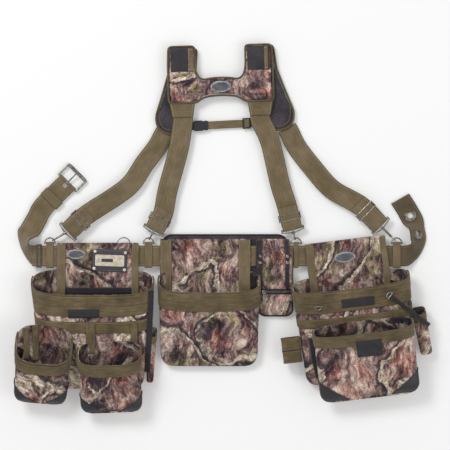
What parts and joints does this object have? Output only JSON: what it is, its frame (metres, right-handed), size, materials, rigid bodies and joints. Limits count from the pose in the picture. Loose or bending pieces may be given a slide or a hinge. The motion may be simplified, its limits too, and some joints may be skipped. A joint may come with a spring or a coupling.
{
  "type": "tool belt",
  "caption": "Camouflage tool belt with slide-on pouches, a padded back and padded suspenders, lying on its back.",
  "frame": {"origin": "on the back face of the back pad, behind the middle of the belt webbing", "axes": "+X along the belt towards the tongue, +Y up towards the shoulders, +Z out of the bags"},
  "size_m": [0.9991, 0.8864, 0.1041],
  "materials": {
    "webbing": "woven webbing, olive brown",
    "camo": null,
    "mesh": "black air mesh over foam",
    "black_cloth": "heavy black woven cloth",
    "black_webbing": "black woven tape",
    "black_leather": "smooth black leather",
    "black_plastic": "matt moulded plastic",
    "nickel": "dull nickel plate",
    "badge": "bare moulded badge"
  },
  "bodies": {
    "belt": {"lumbar_pad": "mesh", "belt_webbing": "webbing", "tongue_grommets": "nickel", "ring_keepers": "webbing", "flat_pouch": "camo", "pouch_zip": "black_webbing", "pouch_straps": "black_webbing", "pouch_snaps": "nickel"},
    "belt_slider": {"belt_slider": "nickel"},
    "belt_keeper": {"belt_keeper": "webbing"},
    "buckle_frame": {"buckle_frame": "nickel"},
    "buckle_roller": {"buckle_roller": "nickel"},
    "buckle_prong": {"buckle_prong": "nickel"},
    "zip_pull": {"zip_pull": "nickel"},
    "harness": {"harness_rings": "nickel", "yoke_pad": "camo", "yoke_badge": "badge", "yoke_tabs": "webbing", "chest_pads": "mesh", "suspender_straps": "webbing", "strap_loops": "nickel", "clip_socket": "black_plastic", "ladder_lock": "black_plastic"},
    "chest_plug": {"clip_plug": "black_plastic", "chest_strap": "webbing"},
    "left_bag": {"left_panel": "camo", "left_main_pocket": "camo", "left_bands": "webbing", "left_front_pockets": "camo", "left_corner_patches": "black_cloth", "left_badge": "badge", "tape_base": "black_leather", "tape_clip": "nickel", "tape_rivets": "nickel", "left_sleeve": "camo"},
    "middle_bag": {"middle_panel": "camo", "middle_pocket": "camo", "middle_band": "webbing"},
    "right_bag": {"right_panel": "camo", "right_main_pocket": "camo", "right_bands": "webbing", "right_front_pocket": "camo", "right_corner_patches": "black_cloth", "right_badge": "badge", "right_side_loop": "webbing", "right_sleeve": "camo", "bag_rings": "nickel"},
    "lanyard": {"lanyard": "black_webbing"},
    "slider_left_front": {"slider_left_front": "nickel"},
    "hook_left_front": {"hook_left_front": "nickel"},
    "gate_left_front": {"gate_left_front": "nickel"},
    "slider_left_back": {"slider_left_back": "nickel"},
    "hook_left_back": {"hook_left_back": "nickel"},
    "gate_left_back": {"gate_left_back": "nickel"},
    "slider_right_back": {"slider_right_back": "nickel"},
    "hook_right_back": {"hook_right_back": "nickel"},
    "gate_right_back": {"gate_right_back": "nickel"},
    "slider_right_front": {"slider_right_front": "nickel"},
    "hook_right_front": {"hook_right_front": "nickel"},
    "gate_right_front": {"gate_right_front": "nickel"}
  },
  "joints": [
    {"name": "left_bag_slide", "type": "slide", "parent": "belt", "child": "left_bag", "axis": [1, 0, 0], "range_m": [-0.001, 0.005]},
    {"name": "middle_bag_slide", "type": "slide", "parent": "belt", "child": "middle_bag", "axis": [1, 0, 0], "range_m": [-0.006, 0.004]},
    {"name": "right_bag_slide", "type": "slide", "parent": "belt", "child": "right_bag", "axis": [1, 0, 0], "range_m": [-0.001, 0.003]},
    {"name": "belt_slider_slide", "type": "slide", "parent": "belt", "child": "belt_slider", "axis": [1, 0, 0], "range_m": [-0.001, 0.004]},
    {"name": "belt_keeper_slide", "type": "slide", "parent": "belt", "child": "belt_keeper", "axis": [0.7071, 0.7071, 0], "range_m": [-0.008, 0.008]},
    {"name": "buckle_frame_hinge", "type": "hinge", "parent": "belt", "child": "buckle_frame", "pos_m": [-0.37965, 0.17635, 0.006], "axis": [0.7071, -0.7071, 0], "range_deg": [0, 80]},
    {"name": "buckle_roller_spin", "type": "hinge", "parent": "buckle_frame", "child": "buckle_roller", "pos_m": [-0.3556, 0.2004, 0.006], "axis": [0.7071, -0.7071, 0], "continuous": true},
    {"name": "buckle_prong_hinge", "type": "hinge", "parent": "buckle_frame", "child": "buckle_prong", "pos_m": [-0.37965, 0.17635, 0.006], "axis": [0.7071, -0.7071, 0], "range_deg": [0, 75]},
    {"name": "zip_pull_slide", "type": "slide", "parent": "belt", "child": "zip_pull", "axis": [1, 0, 0], "range_m": [0, 0.056]},
    {"name": "harness_hinge", "type": "hinge", "parent": "belt", "child": "harness", "pos_m": [0, 0.03035, 0.01575], "axis": [1, 0, 0], "range_deg": [0, 80]},
    {"name": "chest_plug_slide", "type": "slide", "parent": "harness", "child": "chest_plug", "axis": [0.9986, 0.0523, 0], "range_m": [0, 0.02]},
    {"name": "slider_left_front_slide", "type": "slide", "parent": "harness", "child": "slider_left_front", "axis": [0.7431, 0.6691, 0], "range_m": [-0.008, 0.008]},
    {"name": "slider_left_back_slide", "type": "slide", "parent": "harness", "child": "slider_left_back", "axis": [0.4695, 0.8829, 0], "range_m": [-0.006, 0.008]},
    {"name": "slider_right_back_slide", "type": "slide", "parent": "harness", "child": "slider_right_back", "axis": [-0.2419, 0.9703, 0], "range_m": [-0.008, 0.008]},
    {"name": "slider_right_front_slide", "type": "slide", "parent": "harness", "child": "slider_right_front", "axis": [-0.7071, 0.7071, 0], "range_m": [-0.008, 0.008]},
    {"name": "hook_left_front_swivel", "type": "hinge", "parent": "harness", "child": "hook_left_front", "pos_m": [-0.41156, 0.03895, 0.01575], "axis": [0.8572, 0.515, 0], "range_deg": [-12, 12]},
    {"name": "hook_left_back_swivel", "type": "hinge", "parent": "harness", "child": "hook_left_back", "pos_m": [-0.1806, 0.04287, 0.01575], "axis": [0.4695, 0.8829, 0], "range_deg": [-12, 12]},
    {"name": "hook_right_back_swivel", "type": "hinge", "parent": "harness", "child": "hook_right_back", "pos_m": [0.16802, 0.04298, 0.01575], "axis": [-0.2419, 0.9703, 0], "range_deg": [-12, 12]},
    {"name": "hook_right_front_swivel", "type": "hinge", "parent": "harness", "child": "hook_right_front", "pos_m": [0.40576, 0.041, 0.01575], "axis": [-0.7071, 0.7071, 0], "range_deg": [-12, 12]},
    {"name": "gate_left_front_hinge", "type": "hinge", "parent": "hook_left_front", "child": "gate_left_front", "pos_m": [-0.40554, 0.04257, 0.01865], "axis": [0.515, -0.8572, 0], "range_deg": [0, 14], "stiffness_Nm_per_rad": 0.002, "springref_deg": -17.19},
    {"name": "gate_left_back_hinge", "type": "hinge", "parent": "hook_left_back", "child": "gate_left_back", "pos_m": [-0.17731, 0.04907, 0.01865], "axis": [0.8829, -0.4695, 0], "range_deg": [0, 14], "stiffness_Nm_per_rad": 0.002, "springref_deg": -17.19},
    {"name": "gate_right_back_hinge", "type": "hinge", "parent": "hook_right_back", "child": "gate_right_back", "pos_m": [0.16632, 0.0498, 0.01865], "axis": [0.9703, 0.2419, 0], "range_deg": [0, 14], "stiffness_Nm_per_rad": 0.002, "springref_deg": -17.19},
    {"name": "gate_right_front_hinge", "type": "hinge", "parent": "hook_right_front", "child": "gate_right_front", "pos_m": [0.40079, 0.04596, 0.01865], "axis": [0.7071, 0.7071, 0], "range_deg": [0, 14], "stiffness_Nm_per_rad": 0.002, "springref_deg": -17.19},
    {"name": "lanyard_hinge", "type": "hinge", "parent": "right_bag", "child": "lanyard", "pos_m": [0.39404, -0.09491, 0.07168], "axis": [-0.6019, -0.7976, -0.0391], "range_deg": [0, 60]}
  ]
}
